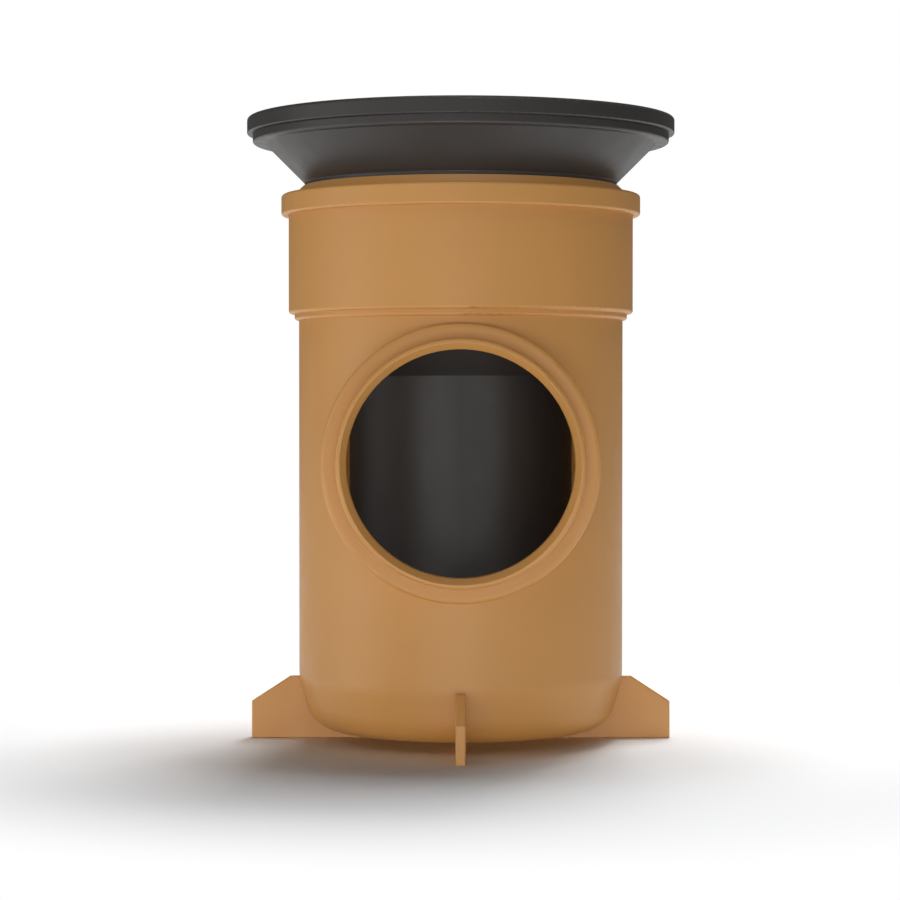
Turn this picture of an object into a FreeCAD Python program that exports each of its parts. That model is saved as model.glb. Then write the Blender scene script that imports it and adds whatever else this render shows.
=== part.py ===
import FreeCAD, Part

import math
import os

# Bottle gully for underground drainage, in millimetres, +Z up, standing on its four fins at z = 0.
# A moulded pot with a side outlet holds a lift-out trap insert, whose dip tube stands in the water of
# the sump. A hopper pushes into the socket at the top through a captive ring seal, and a round grating
# drops into its mouth. The outlet faces -Y.

# Pot
BARREL_D = 160.0
BARREL_WALL = 3.2
BASE_D = 146.0
BASE_Z = 5.0
BASE_ROUND = 16.0
TAPER_Z = 31.0
TAPER_ROUND = 20.0
STEP_D = 164.2
STEP_Z = 206.5
STEP_ROUND = 1.4
SOCKET_D = 170.0
SOCKET_WALL = 4.0
SOCKET_Z = 209.6
SOCKET_ROUND = 1.6
SOCKET_END_Z = 262.2
SOCKET_LEAD_IN = 1.0
SEAT_Z = 211.0

# Feet
FIN_COUNT = 4
FIN_REACH = 103.6
FIN_THICK = 4.8
FIN_EDGE_Z = 17.9
FIN_TOP_Z = 30.2
FIN_SHOULDER_R = 84.7
FIN_ROOT_R = 40.0
FIN_EDGE_ROUND = 0.8

# Outlet
OUTLET_Z = 137.6
OUTLET_BORE_D = 106.4
NOSE_D = 116.0
NOSE_REACH = 92.5
NOSE_ROUND = 1.8
FLARE_D = 111.8
FLARE_DEPTH = 6.0
BOSS_D = 131.0
BOSS_REACH = 83.5
BOSS_ROUND = 2.4
BOSS_WALL = 3.2

# Ring seal and its snap-on cap
CAP_D = 177.2
CAP_BOTTOM_Z = 258.0
CAP_TOP_Z = 268.2
CAP_LIP_Z = 272.4
CAP_LIP_ROOT_D = 164.8
CAP_LIP_LAND = 0.5
CAP_TOP_ROUND = 1.5
CAP_BOTTOM_ROUND = 1.2
CAP_FLANGE = 2.4
SNAP_Z = 260.0
SNAP_HEIGHT = 1.0
SNAP_DEPTH = 0.5
SEAL_BEAD_D = 166.6
SEAL_BEAD_IN_D = 158.4
SEAL_HEEL_D = 161.6
SEAL_LIP_Z = 260.6
SEAL_LIP_FLAT = 2.0

# Trap insert
DIP_TUBE_D = 110.0
DIP_TUBE_END_Z = 35.6
DIP_CONE_Z = 178.8
INSERT_WALL = 3.0
INSERT_NECK_Z = 203.0
INSERT_SLEEVE_WALL = 3.1
INSERT_SLEEVE_Z = 236.0
GASKET_THICK = 2.0

# Hopper
SPIGOT_D = 154.2
HOPPER_WALL = 3.0
HOPPER_CONE_Z = 274.1
FLANGE_D = 205.2
FLANGE_Z = 293.4
FLANGE_TOP_Z = 298.0
FLANGE_ROUND = 1.2

# Grating
GRATING_D = 210.8
GRATING_TOP_Z = 305.9
GRATING_ROUND = 1.5
GRATING_LOWER_ROUND = 0.6
GRATING_RIM = 13.0
GRATING_DISH = 1.0
SKIRT_DEPTH = 5.0
SKIRT_WALL = 3.0
SLOT_WIDTH = 7.0
SLOT_PITCH = 11.5
SLOT_ROWS = 15
SPINE_WIDTH = 7.0
SPINE_DEPTH = 5.0

# Fits
SLIDE_GAP = 0.4
SNAP_GAP = 0.1
CUT_PAST = 1.0

ORIGIN = FreeCAD.Vector(0, 0, 0)
Z_AXIS = FreeCAD.Vector(0, 0, 1)
Y_AXIS = FreeCAD.Vector(0, 1, 0)


def section(corners):
    """Closed face in the XZ plane through (r, z) or (r, z, rounding) corners."""
    points = [FreeCAD.Vector(corner[0], 0, corner[1]) for corner in corners]
    spans = []
    for index, corner in enumerate(corners):
        point = points[index]
        if len(corner) == 2:
            spans.append((point, None, point))
            continue
        rounding = corner[2]
        back = (points[index - 1] - point).normalize()
        ahead = (points[(index + 1) % len(points)] - point).normalize()
        half_angle = back.getAngle(ahead) / 2
        trim = rounding / math.tan(half_angle)
        inward = (back + ahead).normalize()
        middle = point + inward * (rounding / math.sin(half_angle) - rounding)
        spans.append((point + back * trim, middle, point + ahead * trim))
    edges = []
    for index, (start, middle, end) in enumerate(spans):
        if middle is not None:
            edges.append(Part.Arc(start, middle, end).toShape())
        next_start = spans[(index + 1) % len(spans)][0]
        edges.append(Part.LineSegment(end, next_start).toShape())
    return Part.Face(Part.Wire(edges))


def turned(corners):
    """Solid turned about Z from a section given by its corners."""
    return section(corners).revolve(ORIGIN, Z_AXIS, 360)


def cone_shift(run, rise, wall):
    """Height by which a wall's inner bend lies above its outer one, where a tube opens into a cone."""
    return wall * math.tan(math.atan2(run, rise) / 2)


def floor_inset(run, rise, wall):
    """Distance by which a wall's inner corner lies inside its outer one, where a cone stands on a floor."""
    return wall * math.tan(math.pi / 4 - math.atan2(run, rise) / 2)


def pot_outside():
    """The pot's outer form, solid: tapered base, barrel, step and socket with the cap's snap groove."""
    barrel_r = BARREL_D / 2
    socket_r = SOCKET_D / 2
    groove_r = socket_r - SNAP_DEPTH
    groove_low = SNAP_Z - SNAP_HEIGHT
    groove_high = SNAP_Z + SNAP_HEIGHT
    return turned([
        (0, BASE_Z),
        (BASE_D / 2, BASE_Z, BASE_ROUND),
        (barrel_r, TAPER_Z, TAPER_ROUND),
        (barrel_r, STEP_Z),
        (STEP_D / 2, STEP_Z, STEP_ROUND),
        (STEP_D / 2, SOCKET_Z),
        (socket_r, SOCKET_Z, SOCKET_ROUND),
        (socket_r, groove_low),
        (groove_r, groove_low),
        (groove_r, groove_high),
        (socket_r, groove_high),
        (socket_r, SOCKET_END_Z),
        (0, SOCKET_END_Z),
    ])


def pot_inside():
    """The pot's hollow: sump, barrel bore, the insert's seat and the socket bore with a lead-in."""
    bore_r = BARREL_D / 2 - BARREL_WALL
    socket_bore_r = SOCKET_D / 2 - SOCKET_WALL
    taper = (BARREL_D / 2 - BASE_D / 2, TAPER_Z - BASE_Z, BARREL_WALL)
    floor_r = BASE_D / 2 - floor_inset(*taper)
    return turned([
        (0, BASE_Z + BARREL_WALL),
        (floor_r, BASE_Z + BARREL_WALL, BASE_ROUND - BARREL_WALL),
        (bore_r, TAPER_Z + cone_shift(*taper), TAPER_ROUND - BARREL_WALL),
        (bore_r, SEAT_Z),
        (socket_bore_r, SEAT_Z),
        (socket_bore_r, SOCKET_END_Z - SOCKET_LEAD_IN),
        (socket_bore_r + SOCKET_LEAD_IN, SOCKET_END_Z),
        (socket_bore_r + SOCKET_LEAD_IN, SOCKET_END_Z + CUT_PAST),
        (0, SOCKET_END_Z + CUT_PAST),
    ])


def fin():
    """One foot, a plate in the XZ plane that runs in under the base."""
    corners = [
        (FIN_ROOT_R, 0),
        (FIN_REACH, 0),
        (FIN_REACH, FIN_EDGE_Z),
        (FIN_SHOULDER_R, FIN_TOP_Z),
        (FIN_ROOT_R, FIN_TOP_Z),
    ]
    plate = section(corners).extrude(Y_AXIS * FIN_THICK)
    plate.translate(Y_AXIS * (-FIN_THICK / 2))
    outer_edges = [
        edge for edge in plate.Edges
        if edge.CenterOfMass.x > FIN_SHOULDER_R - CUT_PAST and edge.CenterOfMass.z > CUT_PAST
    ]
    return plate.makeFillet(FIN_EDGE_ROUND, outer_edges)


def along_outlet(corners):
    """Solid turned about the outlet's axis from (r, reach) corners, facing -Y."""
    solid = turned(corners)
    solid.rotate(ORIGIN, FreeCAD.Vector(1, 0, 0), 90)
    solid.translate(Z_AXIS * OUTLET_Z)
    return solid


def outlet_outside():
    """Flat-faced boss on the barrel and the short nose that stands on it, both with rounded edges."""
    boss, nose = [
        along_outlet([(0, 0), (d / 2, 0), (d / 2, reach, rounding), (0, reach)])
        for d, reach, rounding in (
            (BOSS_D, BOSS_REACH, BOSS_ROUND),
            (NOSE_D, NOSE_REACH, NOSE_ROUND),
        )
    ]
    return boss.fuse(nose)


def outlet_inside():
    """The outlet's hollow: a chamber as wide as the boss allows, the nose's bore and its flared mouth."""
    chamber_r = BOSS_D / 2 - BOSS_WALL
    chamber_reach = BOSS_REACH - BOSS_WALL
    bore_r = OUTLET_BORE_D / 2
    flare_r = FLARE_D / 2
    return along_outlet([
        (0, 0),
        (chamber_r, 0),
        (chamber_r, chamber_reach),
        (bore_r, chamber_reach),
        (bore_r, NOSE_REACH - FLARE_DEPTH),
        (flare_r, NOSE_REACH),
        (flare_r, NOSE_REACH + CUT_PAST),
        (0, NOSE_REACH + CUT_PAST),
    ])


def gully_pot():
    """One moulding: pot, feet and outlet."""
    body = pot_outside()
    for index in range(FIN_COUNT):
        foot = fin()
        foot.rotate(ORIGIN, Z_AXIS, index * 360 / FIN_COUNT)
        body = body.fuse(foot)
    body = body.fuse(outlet_outside())
    return body.cut(pot_inside()).cut(outlet_inside()).removeSplitter()


def socket_ring_seal():
    """Rubber ring on the socket's end, with a lip that wipes the hopper's spigot."""
    bead_r = SEAL_BEAD_D / 2
    inner_r = SEAL_BEAD_IN_D / 2
    spigot_r = SPIGOT_D / 2
    top_z = CAP_TOP_Z - CAP_FLANGE
    lip_top_z = SEAL_LIP_Z + SEAL_LIP_FLAT
    return turned([
        (bead_r, SOCKET_END_Z),
        (bead_r, top_z),
        (inner_r, top_z),
        (spigot_r, lip_top_z),
        (spigot_r, SEAL_LIP_Z),
        (inner_r, SEAL_LIP_Z),
        (SEAL_HEEL_D / 2, SOCKET_END_Z),
    ])


def seal_retaining_cap():
    """Snap-on collar that holds the ring seal on the socket's end, with a tapered lip at its mouth."""
    cap_r = CAP_D / 2
    skirt_r = SOCKET_D / 2 + SNAP_GAP
    snap_r = skirt_r - SNAP_DEPTH
    mouth_r = SPIGOT_D / 2 + SLIDE_GAP
    seal_r = SEAL_BEAD_D / 2 + SNAP_GAP
    flange_z = CAP_TOP_Z - CAP_FLANGE
    snap_half = SNAP_HEIGHT / 2
    return turned([
        (skirt_r, CAP_BOTTOM_Z),
        (cap_r, CAP_BOTTOM_Z, CAP_BOTTOM_ROUND),
        (cap_r, CAP_TOP_Z, CAP_TOP_ROUND),
        (CAP_LIP_ROOT_D / 2, CAP_TOP_Z),
        (mouth_r + CAP_LIP_LAND, CAP_LIP_Z),
        (mouth_r, CAP_LIP_Z),
        (mouth_r, flange_z),
        (seal_r, flange_z),
        (seal_r, SOCKET_END_Z),
        (skirt_r, SOCKET_END_Z),
        (skirt_r, SNAP_Z + snap_half + SNAP_DEPTH),
        (snap_r, SNAP_Z + snap_half),
        (snap_r, SNAP_Z - snap_half),
        (skirt_r, SNAP_Z - snap_half - SNAP_DEPTH),
    ])


def trap_seat_gasket():
    """Flat rubber ring between the insert's rim and its seat in the pot."""
    inner_r = BARREL_D / 2 - BARREL_WALL + SLIDE_GAP
    outer_r = SOCKET_D / 2 - SOCKET_WALL - SLIDE_GAP
    top_z = SEAT_Z + GASKET_THICK
    return turned([(inner_r, SEAT_Z), (outer_r, SEAT_Z), (outer_r, top_z), (inner_r, top_z)])


def trap_insert():
    """Funnel with its dip tube, a rim on the gasket and a sleeve that takes the hopper's spigot."""
    tube_r = DIP_TUBE_D / 2
    neck_r = BARREL_D / 2 - BARREL_WALL - SLIDE_GAP
    sleeve_r = SOCKET_D / 2 - SOCKET_WALL - SLIDE_GAP
    sleeve_in_r = sleeve_r - INSERT_SLEEVE_WALL
    rim_z = SEAT_Z + GASKET_THICK
    rim_top_z = rim_z + INSERT_WALL
    shift = cone_shift(neck_r - tube_r, INSERT_NECK_Z - DIP_CONE_Z, INSERT_WALL)
    return turned([
        (tube_r - INSERT_WALL, DIP_TUBE_END_Z),
        (tube_r, DIP_TUBE_END_Z),
        (tube_r, DIP_CONE_Z),
        (neck_r, INSERT_NECK_Z),
        (neck_r, rim_z),
        (sleeve_r, rim_z),
        (sleeve_r, INSERT_SLEEVE_Z),
        (sleeve_in_r, INSERT_SLEEVE_Z),
        (sleeve_in_r, rim_top_z),
        (neck_r - INSERT_WALL, rim_top_z),
        (neck_r - INSERT_WALL, INSERT_NECK_Z + shift),
        (tube_r - INSERT_WALL, DIP_CONE_Z + shift),
    ])


def hopper():
    """Funnel with a flat flange at its mouth and a spigot that stands on the trap insert's rim."""
    spigot_r = SPIGOT_D / 2
    spigot_z = SEAT_Z + GASKET_THICK + INSERT_WALL
    cone_r = spigot_r + FLANGE_Z - HOPPER_CONE_Z
    shift = cone_shift(1, 1, HOPPER_WALL)
    throat_r = spigot_r - HOPPER_WALL
    throat_z = HOPPER_CONE_Z + shift
    mouth_r = throat_r + FLANGE_TOP_Z - throat_z
    return turned([
        (throat_r, spigot_z),
        (spigot_r, spigot_z),
        (spigot_r, HOPPER_CONE_Z),
        (cone_r, FLANGE_Z),
        (FLANGE_D / 2, FLANGE_Z, FLANGE_ROUND),
        (FLANGE_D / 2, FLANGE_TOP_Z),
        (mouth_r, FLANGE_TOP_Z),
        (throat_r, throat_z),
    ])


def slot_cutter(x, y_start, y_end):
    """Upright cutter for a slot along Y with round ends."""
    half = SLOT_WIDTH / 2
    depth = GRATING_TOP_Z - FLANGE_TOP_Z + SPINE_DEPTH + 2 * CUT_PAST
    base_z = FLANGE_TOP_Z - SPINE_DEPTH - CUT_PAST
    bar = Part.makeBox(
        SLOT_WIDTH, y_end - y_start - SLOT_WIDTH, depth, FreeCAD.Vector(x - half, y_start + half, base_z)
    )
    ends = [
        Part.makeCylinder(half, depth, FreeCAD.Vector(x, y, base_z), Z_AXIS)
        for y in (y_start + half, y_end - half)
    ]
    return bar.multiFuse(ends)


def grating():
    """Round slotted grid: a rim on the hopper's flange, a coned locating skirt and a spine rib."""
    rim_r = GRATING_D / 2
    field_r = rim_r - GRATING_RIM
    skirt_r = SPIGOT_D / 2 - HOPPER_WALL + FLANGE_TOP_Z - HOPPER_CONE_Z - 2 * SLIDE_GAP
    skirt_r -= cone_shift(1, 1, HOPPER_WALL)
    skirt_z = FLANGE_TOP_Z - SKIRT_DEPTH
    plate = turned([
        (0, FLANGE_TOP_Z),
        (rim_r, FLANGE_TOP_Z, GRATING_LOWER_ROUND),
        (rim_r, GRATING_TOP_Z, GRATING_ROUND),
        (field_r + GRATING_DISH, GRATING_TOP_Z),
        (field_r, GRATING_TOP_Z - GRATING_DISH),
        (0, GRATING_TOP_Z - GRATING_DISH),
    ])
    skirt = turned([
        (skirt_r, FLANGE_TOP_Z),
        (skirt_r - SKIRT_DEPTH, skirt_z),
        (skirt_r - SKIRT_DEPTH - SKIRT_WALL, skirt_z),
        (skirt_r - SKIRT_WALL, FLANGE_TOP_Z),
    ])
    slot_reach = skirt_r - SKIRT_DEPTH - SKIRT_WALL
    spine = Part.makeBox(
        2 * slot_reach, SPINE_WIDTH, SPINE_DEPTH,
        FreeCAD.Vector(-slot_reach, -SPINE_WIDTH / 2, FLANGE_TOP_Z - SPINE_DEPTH),
    )
    solid = plate.fuse(skirt).fuse(spine)
    for row in range(SLOT_ROWS):
        x = (row - (SLOT_ROWS - 1) / 2) * SLOT_PITCH
        y_end = math.sqrt(slot_reach ** 2 - (abs(x) + SLOT_WIDTH / 2) ** 2)
        cutter = slot_cutter(x, SPINE_WIDTH / 2, y_end)
        solid = solid.cut(cutter).cut(cutter.mirror(ORIGIN, Y_AXIS))
    return solid.removeSplitter()


PIECES = {
    "gully_pot": gully_pot,
    "socket_ring_seal": socket_ring_seal,
    "seal_retaining_cap": seal_retaining_cap,
    "trap_seat_gasket": trap_seat_gasket,
    "trap_insert": trap_insert,
    "hopper": hopper,
    "grating": grating,
}

os.makedirs("parts", exist_ok=True)
for name, build in PIECES.items():
    shape = build()
    shape.exportStep(f"parts/{name}.step")
    print(name, shape.ShapeType, len(shape.Solids), shape.isValid(), round(shape.Volume))
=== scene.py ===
import logging
import math
from abc import ABC, abstractmethod
from dataclasses import dataclass, field
from enum import Enum
from typing import ClassVar

import bpy
import numpy as np
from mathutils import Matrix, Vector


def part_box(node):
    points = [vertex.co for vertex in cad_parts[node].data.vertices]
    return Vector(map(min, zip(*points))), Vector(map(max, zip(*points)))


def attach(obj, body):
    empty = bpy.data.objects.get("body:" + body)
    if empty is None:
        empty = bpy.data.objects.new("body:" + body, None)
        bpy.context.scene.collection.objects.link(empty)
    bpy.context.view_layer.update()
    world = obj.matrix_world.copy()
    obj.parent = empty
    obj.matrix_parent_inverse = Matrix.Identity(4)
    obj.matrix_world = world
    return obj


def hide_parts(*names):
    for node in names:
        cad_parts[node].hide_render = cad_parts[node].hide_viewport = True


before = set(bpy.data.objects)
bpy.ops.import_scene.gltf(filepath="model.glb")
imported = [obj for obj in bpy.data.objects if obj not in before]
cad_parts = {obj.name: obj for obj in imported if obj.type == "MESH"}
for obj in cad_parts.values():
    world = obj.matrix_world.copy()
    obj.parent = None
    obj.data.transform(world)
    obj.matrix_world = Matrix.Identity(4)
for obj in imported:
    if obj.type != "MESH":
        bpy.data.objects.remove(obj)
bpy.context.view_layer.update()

# A bottle gully on a plain pale floor, in metres. Its turned pieces are drawn again with the small
# radii that a mould leaves on every edge, its outlet gets a short flare, and every surface gets the
# finish of its plastic or rubber.

LOG = logging.getLogger("bottle_gully")
ROOT_BODY = "root"
WHITE = (1.0, 1.0, 1.0, 1.0)

Colour = tuple[float, float, float]
Triple = tuple[float, float, float]


class Slot(Enum):
    """Material slots of the record."""

    OCHRE_PVC = "ochre_pvc"
    BLACK_PLASTIC = "black_plastic"
    SEAL_RUBBER = "seal_rubber"


class Reach(Enum):
    """What a softbox lights: the whole room, the gully's outer pieces, or the trap inside them."""

    ROOM = "room"
    GULLY = "gully"
    TRAP = "trap"


class Graph:
    """A node tree, with short calls that add nodes and join their sockets.

    Most values of a noise lie between noise_low and noise_high.
    """

    noise_low: ClassVar[float] = 0.3
    noise_high: ClassVar[float] = 0.7

    def __init__(self, tree: bpy.types.NodeTree) -> None:
        """Start from an empty tree."""
        self.tree = tree
        tree.nodes.clear()

    def add(
        self, kind: str, inputs: dict[str | int, object] | None = None, **settings: object
    ) -> bpy.types.Node:
        """Add a node.

        Args:
            kind: Blender's name of the node's type.
            inputs: socket names or numbers, each with a value or with a socket to read.
            settings: properties of the node.

        Returns:
            The new node.
        """
        node = self.tree.nodes.new(kind)
        for name, value in settings.items():
            setattr(node, name, value)
        for name, value in (inputs or {}).items():
            socket = node.inputs[name]
            if isinstance(value, bpy.types.NodeSocket):
                self.tree.links.new(value, socket)
            else:
                socket.default_value = value
        return node

    def math(self, operation: str, *values: float | bpy.types.NodeSocket) -> bpy.types.NodeSocket:
        """Work out a sum, product, power or the like of numbers or sockets; returns its value."""
        return self.add("ShaderNodeMath", dict(enumerate(values)), operation=operation).outputs[0]

    def sight(self, *kinds: str) -> bpy.types.NodeSocket:
        """Tell some kinds of ray from all others.

        Args:
            kinds: names of Light Path's outputs.

        Returns:
            1 for a ray of any of these kinds, and 0 for the rest.
        """
        rays = self.add("ShaderNodeLightPath").outputs
        seen = rays[kinds[0]]
        for kind in kinds[1:]:
            seen = self.math("MAXIMUM", seen, rays[kind])
        return seen

    def noise(self, where: bpy.types.NodeSocket, size: float, detail: float) -> bpy.types.NodeSocket:
        """Noise with features of about the given size in metres; returns its value, from 0 to 1."""
        node = self.add("ShaderNodeTexNoise", {"Vector": where, "Scale": 1 / size, "Detail": detail})
        return node.outputs["Fac"]

    def spread(self, value: bpy.types.NodeSocket, low: float, high: float) -> bpy.types.NodeSocket:
        """Stretch the middle of a noise over a range.

        Args:
            value: the noise's value.
            low: the start of the range.
            high: the end of the range.

        Returns:
            The stretched value.
        """
        node = self.add(
            "ShaderNodeMapRange",
            {
                "Value": value,
                "From Min": self.noise_low,
                "From Max": self.noise_high,
                "To Min": low,
                "To Max": high,
            },
        )
        return node.outputs["Result"]


@dataclass(frozen=True)
class MouldedFinish:
    """Satin moulded plastic or rubber, tinted unevenly and with the fine grain of its mould.

    Colours are linear. Sizes and depths are in metres. A detail says how many finer layers a noise has.
    """

    slot: Slot
    deep: Colour
    pale: Colour
    roughness: tuple[float, float]
    cloud_size: float = 0.045
    speck_size: float = 0.0011
    speck_share: float = 0.12
    ripple_size: float = 0.010
    ripple_depth: float = 0.00004
    grain_size: float = 0.0006
    grain_depth: float = 0.000006
    cloud_detail: float = 4
    ripple_detail: float = 3
    fine_detail: float = 2
    refraction: float = 1.5

    def material(self) -> bpy.types.Material:
        """Build the finish as a node material.

        Returns:
            A material whose colour, gloss and relief all come from noise on Object coordinates.
        """
        material = bpy.data.materials.new(self.slot.value)
        material.use_nodes = True
        graph = Graph(material.node_tree)
        where = graph.add("ShaderNodeTexCoord").outputs["Object"]
        cloud = graph.noise(where, self.cloud_size, self.cloud_detail)
        speck = graph.noise(where, self.speck_size, self.fine_detail)
        tint = graph.add(
            "ShaderNodeMix", {"Factor": self.speck_share, "A": cloud, "B": speck}, data_type="FLOAT"
        ).outputs["Result"]
        colour = graph.add(
            "ShaderNodeMix",
            {"Factor": graph.spread(tint, 0, 1), "A": (*self.deep, 1), "B": (*self.pale, 1)},
            data_type="RGBA",
        )
        ripple = graph.noise(where, self.ripple_size, self.ripple_detail)
        grain = graph.noise(where, self.grain_size, self.fine_detail)
        rippled = graph.add(
            "ShaderNodeBump", {"Strength": 1.0, "Distance": self.ripple_depth, "Height": ripple}
        )
        grained = graph.add(
            "ShaderNodeBump",
            {
                "Strength": 1.0,
                "Distance": self.grain_depth,
                "Height": grain,
                "Normal": rippled.outputs["Normal"],
            },
        )
        surface = graph.add(
            "ShaderNodeBsdfPrincipled",
            {
                "Base Color": colour.outputs["Result"],
                "Roughness": graph.spread(ripple, *self.roughness),
                "IOR": self.refraction,
                "Normal": grained.outputs["Normal"],
            },
        )
        graph.add("ShaderNodeOutputMaterial", {"Surface": surface.outputs["BSDF"]})
        return material


FINISHES = (
    MouldedFinish(
        Slot.OCHRE_PVC, deep=(0.575, 0.280, 0.076), pale=(0.600, 0.292, 0.080), roughness=(0.40, 0.48)
    ),
    MouldedFinish(
        Slot.BLACK_PLASTIC,
        deep=(0.033, 0.0300, 0.0280),
        pale=(0.036, 0.0325, 0.0305),
        roughness=(0.40, 0.48),
        ripple_depth=0.000001,
        grain_depth=0.0000001,
    ),
    MouldedFinish(
        Slot.SEAL_RUBBER, deep=(0.010, 0.010, 0.010), pale=(0.016, 0.016, 0.016), roughness=(0.62, 0.78)
    ),
)


@dataclass(frozen=True)
class Axis:
    """An axis that a section is carried round: the ways across, aside and along it, and its foot."""

    ways: np.ndarray
    foot: Triple


BARREL_AXIS = Axis(np.eye(3), (0.0, 0.0, 0.0))


@dataclass(frozen=True)
class Outline:
    """A closed section in the (r, z) half plane, with the way that each point's surface faces."""

    points: np.ndarray
    facings: np.ndarray

    @classmethod
    def rounded(cls, corners: list[Triple], steps: int = 7) -> "Outline":
        """Round every corner of a section.

        A corner p lies between the unit ways u back and v ahead, which meet at the angle 2h. Its arc
        of radius q has its centre at distance q / sin h from p along u + v, and starts and ends at
        distance q / tan h from p. Points on the arc are spread evenly over the turn of pi - 2h. The
        surface faces away from the centre at an outer corner, and towards it at an inner one.

        Args:
            corners: (r, z, radius) of each corner, with the material on the left of the way round.
            steps: points on each arc.

        Returns:
            The rounded outline.
        """
        table = np.array(corners, float)
        p, radius = table[:, :2], table[:, 2:]
        back = np.roll(p, 1, axis=0) - p
        ahead = np.roll(p, -1, axis=0) - p
        back /= np.linalg.norm(back, axis=1, keepdims=True)
        ahead /= np.linalg.norm(ahead, axis=1, keepdims=True)
        half = np.arccos(np.clip(np.sum(back * ahead, axis=1, keepdims=True), -1, 1)) / 2
        middle = back + ahead
        middle /= np.linalg.norm(middle, axis=1, keepdims=True)
        centre = p + middle * radius / np.sin(half)
        start = p + back * radius / np.tan(half) - centre
        end = p + ahead * radius / np.tan(half) - centre
        turn = (math.pi - 2 * half)[:, None, :]
        share = np.linspace(0, 1, steps)[None, :, None]
        arms = np.sin((1 - share) * turn) * start[:, None, :] + np.sin(share * turn) * end[:, None, :]
        arms /= np.sin(turn)
        cross = back[:, 1] * ahead[:, 0] - back[:, 0] * ahead[:, 1]
        side = np.sign(cross)[:, None, None]
        points = centre[:, None, :] + arms
        facings = side * arms / radius[:, None, :]
        return cls(points.reshape(-1, 2), facings.reshape(-1, 2))

    def turned(self, name: str, axis: Axis = BARREL_AXIS, turns: int = 320) -> bpy.types.Object:
        """Carry the outline round an axis.

        Point (i, j) of the grid is r_j cos a_i across the axis, r_j sin a_i aside and z_j along it, for
        the angle a_i = 2 pi i / turns, and the surface there faces the outline's own way, turned by the
        same angle.

        Args:
            name: the new object's name.
            axis: the axis to turn about.
            turns: steps round it.

        Returns:
            A closed mesh of quads with true normals and a map of length round and along it.
        """
        count = len(self.points)
        angle = np.arange(turns) * (2 * math.pi / turns)
        around = np.stack([np.cos(angle), np.sin(angle)], axis=1)

        def lathe(section: np.ndarray) -> np.ndarray:
            """Set the rows of a section at every angle.

            Args:
                section: (r, z) of each row.

            Returns:
                (x, y, z) of all of them, angle by angle.
            """
            grid = np.empty((turns, count, 3))
            grid[..., :2] = around[:, None, :] * section[None, :, :1]
            grid[..., 2] = section[None, :, 1]
            return grid.reshape(-1, 3) @ axis.ways

        i, j = np.meshgrid(np.arange(turns), np.arange(count), indexing="ij")
        row, next_row = i * count, (i + 1) % turns * count
        next_j = (j + 1) % count
        quads = np.stack([row + j, next_row + j, next_row + next_j, row + next_j], -1)
        mesh = bpy.data.meshes.new(name)
        mesh.from_pydata(lathe(self.points) + axis.foot, [], quads.reshape(-1, 4))
        mesh.shade_smooth()
        mesh.normals_split_custom_set_from_vertices(lathe(self.facings))

        steps = np.linalg.norm(np.roll(self.points, -1, axis=0) - self.points, axis=1)
        along = np.concatenate([[0], np.cumsum(steps)])
        girth = 2 * math.pi * self.points[:, 0].max() / turns
        across = np.stack([i, i + 1, i + 1, i], -1) * girth
        up = np.stack([along[j], along[j], along[j + 1], along[j + 1]], -1)
        layer = mesh.uv_layers.new(name="turned")
        layer.uv.foreach_set("vector", np.stack([across, up], -1).reshape(-1).astype(np.float32))
        thing = bpy.data.objects.new(name, mesh)
        bpy.context.scene.collection.objects.link(thing)
        return thing


@dataclass(frozen=True)
class Span:
    """How far a node reaches: its radius about Z, and its lowest and highest points."""

    r: float
    bottom: float
    top: float

    @classmethod
    def of(cls, node: str) -> "Span":
        """Read a node's reach from the frame."""
        low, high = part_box(node)
        return cls(high.x, low.z, high.z)


class SubAssembly(ABC):
    """Some pieces of the gully that belong together.

    The reach names the softboxes that light them. Pieces that don't shade let that light through to
    the others.
    """

    reach: ClassVar[Reach] = Reach.GULLY
    shades: ClassVar[bool] = True

    @abstractmethod
    def build(self) -> dict[Slot, list[bpy.types.Object]]:
        """Make or fetch the pieces.

        Returns:
            The pieces by material slot.
        """

    def dress(self, materials: dict[Slot, bpy.types.Material]) -> list[bpy.types.Object]:
        """Build the pieces and give each the finish of its slot.

        Args:
            materials: the material of each slot.

        Returns:
            All the pieces.
        """
        pieces = []
        for slot, members in self.build().items():
            for piece in members:
                piece.data.materials.clear()
                piece.data.materials.append(materials[slot])
            pieces += members
        return pieces

    @staticmethod
    def redraw(node: str, corners: list[Triple], slot: Slot) -> bpy.types.Object:
        """Draw a turned node again, with its edges rounded.

        Args:
            node: the node that the new surface stands for.
            corners: (r, z, radius) of its section's corners, with the material on the left.
            slot: the record's slot; not used.

        Returns:
            The new piece, in the node's place.
        """
        piece = Outline.rounded(corners).turned(f"{node}_surface")
        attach(piece, ROOT_BODY)
        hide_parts(node)
        return piece


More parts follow.
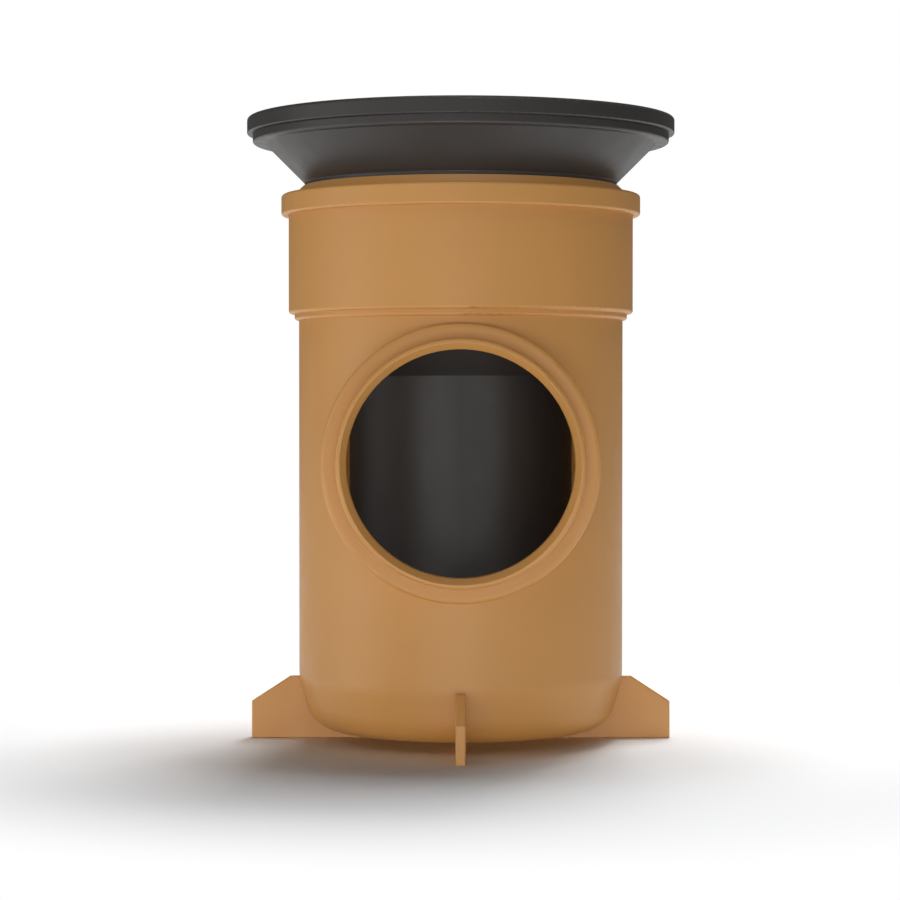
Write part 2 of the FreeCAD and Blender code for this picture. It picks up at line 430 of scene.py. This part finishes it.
@dataclass
class Pot(SubAssembly):
    """The moulded pot with its feet and its outlet, and the short flare in the outlet's mouth.

    A reach is a distance from the barrel's axis along the outlet.
    """

    node: str = "gully_pot"
    outlet_z: float = 0.1376
    bore_r: float = 0.05315
    flare_r: float = 0.0559
    seat_r: float = 0.0562
    throat_reach: float = 0.0864
    lip_reach: float = 0.09253
    flare_depth: float = 0.0042
    flare_round: float = 0.0004
    seat_round: float = 0.00002

    def flare_corners(self) -> list[Triple]:
        """Section of the flare's ring, about the outlet's axis.

        Returns:
            (r, reach, radius) of each corner, with the material on the left of the way round.
        """
        return [
            (self.bore_r, self.throat_reach, self.seat_round),
            (self.seat_r, self.throat_reach, self.seat_round),
            (self.seat_r, self.lip_reach, self.seat_round),
            (self.flare_r, self.lip_reach, self.flare_round),
            (self.bore_r, self.lip_reach - self.flare_depth, self.flare_round),
        ]

    def outlet_axis(self) -> Axis:
        """The outlet's axis, with +X across it, +Z aside and -Y along it."""
        ways = np.array([[1.0, 0.0, 0.0], [0.0, 0.0, 1.0], [0.0, -1.0, 0.0]])
        return Axis(ways, (0.0, 0.0, self.outlet_z))

    def build(self) -> dict[Slot, list[bpy.types.Object]]:
        """Fetch the moulding, whose form is whole as it comes, and draw the flare in its outlet.

        Returns:
            The moulding and the flare's ring.
        """
        flare = Outline.rounded(self.flare_corners()).turned("outlet_flare", self.outlet_axis())
        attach(flare, ROOT_BODY)
        return {Slot.OCHRE_PVC: [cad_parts[self.node], flare]}


@dataclass
class SocketSeal(SubAssembly):
    """The ring seal on the socket's end, and the collar that snaps over it."""

    pot: Span = field(default_factory=lambda: Span.of("gully_pot"))
    cap: Span = field(default_factory=lambda: Span.of("seal_retaining_cap"))
    seal: Span = field(default_factory=lambda: Span.of("socket_ring_seal"))
    mouth_r: float = 0.0775
    lip_land: float = 0.0005
    lip_root_r: float = 0.0824
    lip_height: float = 0.0042
    skirt_r: float = 0.0851
    seal_room_r: float = 0.0834
    snap_z: float = 0.2600
    snap_half: float = 0.0005
    snap_depth: float = 0.0005
    top_round: float = 0.0015
    bottom_round: float = 0.0012
    edge_round: float = 0.0002
    snap_round: float = 0.0001
    wiper_r: float = 0.0771
    wiper_flat: float = 0.002
    heel_r: float = 0.0808
    seal_inner_r: float = 0.0792
    rubber_round: float = 0.0004

    def cap_corners(self) -> list[Triple]:
        """Section of the collar, from the inside of its skirt round its outside.

        Returns:
            (r, z, radius) of each corner, with the material on the left of the way round.
        """
        flat_z = self.cap.top - self.lip_height
        snap_top = self.snap_z + self.snap_half
        snap_bottom = self.snap_z - self.snap_half
        snap_r = self.skirt_r - self.snap_depth
        return [
            (self.skirt_r, self.cap.bottom, self.edge_round),
            (self.cap.r, self.cap.bottom, self.bottom_round),
            (self.cap.r, flat_z, self.top_round),
            (self.lip_root_r, flat_z, self.edge_round),
            (self.mouth_r + self.lip_land, self.cap.top, self.edge_round),
            (self.mouth_r, self.cap.top, self.edge_round),
            (self.mouth_r, self.seal.top, self.edge_round),
            (self.seal_room_r, self.seal.top, self.edge_round),
            (self.seal_room_r, self.pot.top, self.edge_round),
            (self.skirt_r, self.pot.top, self.edge_round),
            (self.skirt_r, snap_top + self.snap_depth, self.snap_round),
            (snap_r, snap_top, self.snap_round),
            (snap_r, snap_bottom, self.snap_round),
            (self.skirt_r, snap_bottom - self.snap_depth, self.snap_round),
        ]

    def seal_corners(self) -> list[Triple]:
        """Section of the ring seal: a bead on the socket's end, and a lip that hangs inside it.

        Returns:
            (r, z, radius) of each corner, with the material on the left of the way round.
        """
        rows = [
            (self.seal.r, self.pot.top),
            (self.seal.r, self.seal.top),
            (self.seal_inner_r, self.seal.top),
            (self.wiper_r, self.seal.bottom + self.wiper_flat),
            (self.wiper_r, self.seal.bottom),
            (self.seal_inner_r, self.seal.bottom),
            (self.heel_r, self.pot.top),
        ]
        return [(r, z, self.rubber_round) for r, z in rows]

    def build(self) -> dict[Slot, list[bpy.types.Object]]:
        """Draw the collar and the ring seal.

        Returns:
            The two pieces by material slot.
        """
        cap = self.redraw("seal_retaining_cap", self.cap_corners(), Slot.OCHRE_PVC)
        seal = self.redraw("socket_ring_seal", self.seal_corners(), Slot.SEAL_RUBBER)
        return {Slot.OCHRE_PVC: [cap], Slot.SEAL_RUBBER: [seal]}


@dataclass
class Trap(SubAssembly):
    """The lift-out trap insert with its dip tube, and the gasket under its rim.

    It has softboxes of its own, which the pot doesn't shade, so that the tube shows in the outlet.
    """

    reach: ClassVar[Reach] = Reach.TRAP
    insert: Span = field(default_factory=lambda: Span.of("trap_insert"))
    gasket: Span = field(default_factory=lambda: Span.of("trap_seat_gasket"))
    tube_r: float = 0.055
    wall: float = 0.003
    cone_z: float = 0.1788
    neck_r: float = 0.0764
    neck_z: float = 0.203
    sleeve_wall: float = 0.0031
    gasket_inner_r: float = 0.0772
    edge_round: float = 0.0008
    seat_round: float = 0.0004
    bend_round: float = 0.002

    def insert_corners(self) -> list[Triple]:
        """Section of the insert, from the dip tube's end up its outside and down its inside.

        Returns:
            (r, z, radius) of each corner, with the material on the left of the way round.
        """
        slope = math.atan2(self.neck_r - self.tube_r, self.neck_z - self.cone_z)
        shift = self.wall * math.tan(slope / 2)
        sleeve_in = self.insert.r - self.sleeve_wall
        rim_top = self.gasket.top + self.wall
        return [
            (self.tube_r - self.wall, self.insert.bottom, self.edge_round),
            (self.tube_r, self.insert.bottom, self.edge_round),
            (self.tube_r, self.cone_z, self.edge_round),
            (self.neck_r, self.neck_z, self.bend_round),
            (self.neck_r, self.gasket.top, self.seat_round),
            (self.insert.r, self.gasket.top, self.seat_round),
            (self.insert.r, self.insert.top, self.edge_round),
            (sleeve_in, self.insert.top, self.edge_round),
            (sleeve_in, rim_top, self.seat_round),
            (self.neck_r - self.wall, rim_top, self.edge_round),
            (self.neck_r - self.wall, self.neck_z + shift, self.bend_round),
            (self.tube_r - self.wall, self.cone_z + shift, self.bend_round),
        ]

    def gasket_corners(self) -> list[Triple]:
        """Section of the flat gasket.

        Returns:
            (r, z, radius) of each corner, with the material on the left of the way round.
        """
        low, high = self.gasket.bottom, self.gasket.top
        inner, outer = self.gasket_inner_r, self.gasket.r
        rows = [(inner, low), (outer, low), (outer, high), (inner, high)]
        return [(r, z, self.seat_round) for r, z in rows]

    def build(self) -> dict[Slot, list[bpy.types.Object]]:
        """Draw the insert and its gasket.

        Returns:
            The two pieces by material slot.
        """
        insert = self.redraw("trap_insert", self.insert_corners(), Slot.BLACK_PLASTIC)
        gasket = self.redraw("trap_seat_gasket", self.gasket_corners(), Slot.SEAL_RUBBER)
        return {Slot.BLACK_PLASTIC: [insert], Slot.SEAL_RUBBER: [gasket]}


@dataclass
class Inlet(SubAssembly):
    """The push-in hopper and the grating that lies in its mouth.

    They don't shade, because the wide cone would leave the collar's lip in the dark.
    """

    shades: ClassVar[bool] = False
    hopper: Span = field(default_factory=lambda: Span.of("hopper"))
    spigot_r: float = 0.0771
    wall: float = 0.003
    cone_z: float = 0.2741
    cone_slope: float = 45.0
    flange_z: float = 0.2934
    flange_round: float = 0.0012
    edge_round: float = 0.0006
    bend_round: float = 0.001

    def hopper_corners(self) -> list[Triple]:
        """Section of the hopper: spigot, cone and flange.

        Returns:
            (r, z, radius) of each corner, with the material on the left of the way round.
        """
        throat_r = self.spigot_r - self.wall
        throat_z = self.cone_z + self.wall * math.tan(math.radians(self.cone_slope / 2))
        run = math.tan(math.radians(self.cone_slope))
        cone_r = self.spigot_r + run * (self.flange_z - self.cone_z)
        mouth_r = throat_r + run * (self.hopper.top - throat_z)
        return [
            (throat_r, self.hopper.bottom, self.edge_round),
            (self.spigot_r, self.hopper.bottom, self.edge_round),
            (self.spigot_r, self.cone_z, self.bend_round),
            (cone_r, self.flange_z, self.bend_round),
            (self.hopper.r, self.flange_z, self.flange_round),
            (self.hopper.r, self.hopper.top, self.edge_round),
            (mouth_r, self.hopper.top, self.edge_round),
            (throat_r, throat_z, self.bend_round),
        ]

    def build(self) -> dict[Slot, list[bpy.types.Object]]:
        """Draw the hopper, and fetch the grating, whose form is whole as it comes."""
        hopper = self.redraw("hopper", self.hopper_corners(), Slot.BLACK_PLASTIC)
        return {Slot.BLACK_PLASTIC: [hopper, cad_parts["grating"]]}


# A sub-assembly with all its pieces.
Dressed = tuple[SubAssembly, list[bpy.types.Object]]


def heading(azimuth: float, elevation: float) -> np.ndarray:
    """Unit way out from the gully.

    Args:
        azimuth: degrees round the Z axis, 0 towards the camera and 90 to its right.
        elevation: degrees above the floor.

    Returns:
        (sin a cos e, -cos a cos e, sin e) for the two angles a and e.
    """
    a, e = math.radians(azimuth), math.radians(elevation)
    return np.array([math.sin(a) * math.cos(e), -math.cos(a) * math.cos(e), math.sin(e)])


@dataclass(frozen=True)
class LitGroup:
    """The pieces that some softboxes light, and those of them that keep this light off others."""

    lit: bpy.types.Collection
    shading: bpy.types.Collection

    @classmethod
    def of(cls, reach: Reach, dressed: list[Dressed]) -> "LitGroup":
        """Gather the pieces of one reach.

        Args:
            reach: the reach of the softboxes.
            dressed: each sub-assembly with its pieces.

        Returns:
            The group, as two collections that stay outside the scene.
        """
        group = cls(*(bpy.data.collections.new(f"{reach.value}_{use}") for use in ("lit", "shading")))
        for assembly, pieces in dressed:
            if assembly.reach is not reach:
                continue
            for piece in pieces:
                group.lit.objects.link(piece)
                if assembly.shades:
                    group.shading.objects.link(piece)
        return group


@dataclass(frozen=True)
class Softbox:
    """A large square lamp that the camera doesn't see.

    Its level is the share of white that a white surface facing it at the gully would reach by its light
    alone. A lamp of power P at distance d gives P / (pi d)^2 of that. Shiny surfaces don't mirror the
    lamps of the whole room. A lamp without shadows fills in where the others are kept off.
    """

    azimuth: float
    elevation: float
    level: float
    reach: Reach
    size: float = 0.65
    distance: float = 1.0
    shadows: bool = True

    def hang(self, aim: Triple, group: LitGroup | None) -> None:
        """Put the lamp up.

        Args:
            aim: the point that it faces.
            group: the pieces that it lights, or None for all things.
        """
        name = f"{self.reach.value}_softbox_{self.azimuth:.0f}"
        lamp = bpy.data.lights.new(name, "AREA")
        lamp.shape = "SQUARE"
        lamp.size = self.size
        lamp.energy = self.level * (math.pi * self.distance) ** 2
        lamp.use_shadow = self.shadows
        # With importance sampling, lamps that only some pieces shade come out too weak together.
        lamp.cycles.use_multiple_importance_sampling = False
        thing = bpy.data.objects.new(name, lamp)
        thing.location = np.array(aim) + self.distance * heading(self.azimuth, self.elevation)
        thing.rotation_euler = (math.radians(90 - self.elevation), 0, math.radians(self.azimuth))
        thing.visible_camera = False
        if group:
            thing.light_linking.receiver_collection = group.lit
            thing.light_linking.blocker_collection = group.shading
        else:
            thing.visible_glossy = False
        bpy.context.scene.collection.objects.link(thing)


@dataclass(frozen=True)
class Studio:
    """A white room with a pale floor and a camera.

    The softboxes behind make the shadow on the floor. The rest light only the outer pieces, or only the
    trap.
    """

    dim_level: float = 0.12
    softboxes: tuple[Softbox, ...] = (
        Softbox(azimuth=165, elevation=78, level=0.74, reach=Reach.ROOM, size=0.6, distance=1.5),
        Softbox(azimuth=165, elevation=40, level=0.47, reach=Reach.ROOM, size=0.6, distance=1.5),
        Softbox(azimuth=140, elevation=58, level=0.20, reach=Reach.ROOM, size=0.6, distance=1.5),
        Softbox(azimuth=-75, elevation=20, level=0.08, reach=Reach.GULLY),
        Softbox(azimuth=-75, elevation=-8, level=0.15, reach=Reach.GULLY),
        Softbox(azimuth=-40, elevation=20, level=0.06, reach=Reach.GULLY),
        Softbox(azimuth=-5, elevation=-8, level=0.175, reach=Reach.GULLY),
        Softbox(azimuth=-5, elevation=-35, level=0.13, reach=Reach.GULLY, shadows=False),
        Softbox(azimuth=30, elevation=-8, level=0.04, reach=Reach.GULLY),
        Softbox(azimuth=0, elevation=70, level=0.20, reach=Reach.GULLY),
        Softbox(azimuth=-90, elevation=15, level=0.09, reach=Reach.TRAP),
        Softbox(azimuth=-25, elevation=15, level=0.19, reach=Reach.TRAP),
        Softbox(azimuth=25, elevation=15, level=0.11, reach=Reach.TRAP),
    )
    aim: Triple = (0.0, 0.0, 0.1)
    floor_r: float = 3.0
    floor_drop: float = 0.0002
    floor_white: Colour = (0.888, 0.9, 0.912)
    floor_near: float = 0.22
    floor_far: float = 0.38
    camera_distance: float = 1.299
    camera_height: float = 0.1669
    lens: float = 104.8
    sensor: float = 36.0
    image_side: float = 900.0
    horizon_row: float = 400.7
    axis_column: float = 460.7

    def light(self, dressed: list[Dressed]) -> None:
        """Hang the softboxes in a dim room, which the camera sees as plain white.

        Args:
            dressed: each sub-assembly with its pieces.
        """
        groups = {reach: LitGroup.of(reach, dressed) for reach in (Reach.GULLY, Reach.TRAP)}
        for softbox in self.softboxes:
            softbox.hang(self.aim, groups.get(softbox.reach))
        world = bpy.data.worlds.new("studio")
        bpy.context.scene.world = world
        world.use_nodes = True
        graph = Graph(world.node_tree)
        seen = graph.sight("Is Camera Ray", "Is Transmission Ray")
        level = graph.math("MULTIPLY_ADD", seen, 1 - self.dim_level, self.dim_level)
        lit = graph.add("ShaderNodeBackground", {"Color": WHITE, "Strength": level})
        graph.add("ShaderNodeOutputWorld", {"Surface": lit.outputs[0]})

    def floor_material(self) -> bpy.types.Material:
        """Build the floor's matt white.

        Returns:
            A material that keeps shadows near the gully and turns to plain white further out.
        """
        material = bpy.data.materials.new("pale_floor")
        material.use_nodes = True
        graph = Graph(material.node_tree)
        where = graph.add("ShaderNodeTexCoord").outputs["Object"]
        away = graph.add("ShaderNodeVectorMath", {0: where}, operation="LENGTH")
        far = graph.add(
            "ShaderNodeMapRange",
            {"Value": away.outputs["Value"], "From Min": self.floor_near, "From Max": self.floor_far},
            interpolation_type="SMOOTHSTEP",
        )
        seen = graph.sight("Is Camera Ray", "Is Glossy Ray", "Is Transmission Ray")
        share = graph.math("MULTIPLY", far.outputs["Result"], seen)
        matt = graph.add("ShaderNodeBsdfDiffuse", {"Color": (*self.floor_white, 1)})
        white = graph.add("ShaderNodeEmission", {"Color": WHITE, "Strength": 1.0})
        both = graph.add("ShaderNodeMixShader", {0: share, 1: matt.outputs[0], 2: white.outputs[0]})
        graph.add("ShaderNodeOutputMaterial", {"Surface": both.outputs[0]})
        return material

    def lay_floor(self, spokes: int = 96, rings: int = 24) -> None:
        """Lay a round floor.

        Point (i, j) is at the angle 2 pi i / spokes and the radius floor_r (j / rings)^2, with j from 1,
        so the rings are close together near the gully. One more point is the middle.

        Args:
            spokes: steps round the floor.
            rings: steps from its middle to its edge.
        """
        angle = np.arange(spokes) * (2 * math.pi / spokes)
        radius = self.floor_r * (np.arange(1, rings + 1) / rings) ** 2
        grid = np.empty((spokes, rings, 3))
        grid[..., 0] = np.cos(angle)[:, None] * radius
        grid[..., 1] = np.sin(angle)[:, None] * radius
        grid[..., 2] = -self.floor_drop
        points = np.concatenate([grid.reshape(-1, 3), [[0, 0, -self.floor_drop]]])
        i, j = np.meshgrid(np.arange(spokes), np.arange(rings - 1), indexing="ij")
        row, next_row = i * rings, (i + 1) % spokes * rings
        quads = np.stack([row + j, row + j + 1, next_row + j + 1, next_row + j], -1)
        inmost = np.arange(spokes) * rings
        hub = np.stack([np.full(spokes, spokes * rings), inmost, np.roll(inmost, -1)], -1)
        mesh = bpy.data.meshes.new("floor")
        mesh.from_pydata(points, [], [*quads.reshape(-1, 4).tolist(), *hub.tolist()])
        mesh.materials.append(self.floor_material())
        floor = bpy.data.objects.new("floor", mesh)
        bpy.context.scene.collection.objects.link(floor)

    def set_camera(self) -> None:
        """Stand the camera before the outlet, tipped and turned to put the gully at its place.

        The horizon falls on horizon_row of the picture, and the barrel's axis on axis_column.
        """
        camera = bpy.data.cameras.new("camera")
        camera.lens = self.lens
        camera.sensor_width = self.sensor
        reach = self.lens / self.sensor * self.image_side
        middle = self.image_side / 2
        tip = math.atan((middle - self.horizon_row) / reach)
        swing = math.atan((self.axis_column - middle) / reach)
        thing = bpy.data.objects.new("camera", camera)
        thing.location = (0, -self.camera_distance, self.camera_height)
        thing.rotation_euler = (math.pi / 2 - tip, 0, swing)
        bpy.context.scene.collection.objects.link(thing)
        bpy.context.scene.camera = thing

    def build(self, dressed: list[Dressed]) -> None:
        """Set up the whole studio.

        Args:
            dressed: each sub-assembly with its pieces.
        """
        self.light(dressed)
        self.lay_floor()
        self.set_camera()
        bpy.context.scene.view_settings.view_transform = "Standard"


def main() -> None:
    """Dress the gully, set it in the studio and log each piece's name and face count."""
    logging.basicConfig(level=logging.INFO, format="%(name)s: %(message)s")
    materials = {finish.slot: finish.material() for finish in FINISHES}
    dressed: list[Dressed] = []
    for assembly in (Pot(), SocketSeal(), Trap(), Inlet()):
        pieces = assembly.dress(materials)
        for piece in pieces:
            LOG.info("%s: %s, %d faces", type(assembly).__name__, piece.name, len(piece.data.polygons))
        dressed.append((assembly, pieces))
    Studio().build(dressed)


if __name__ == "__main__":
    main()
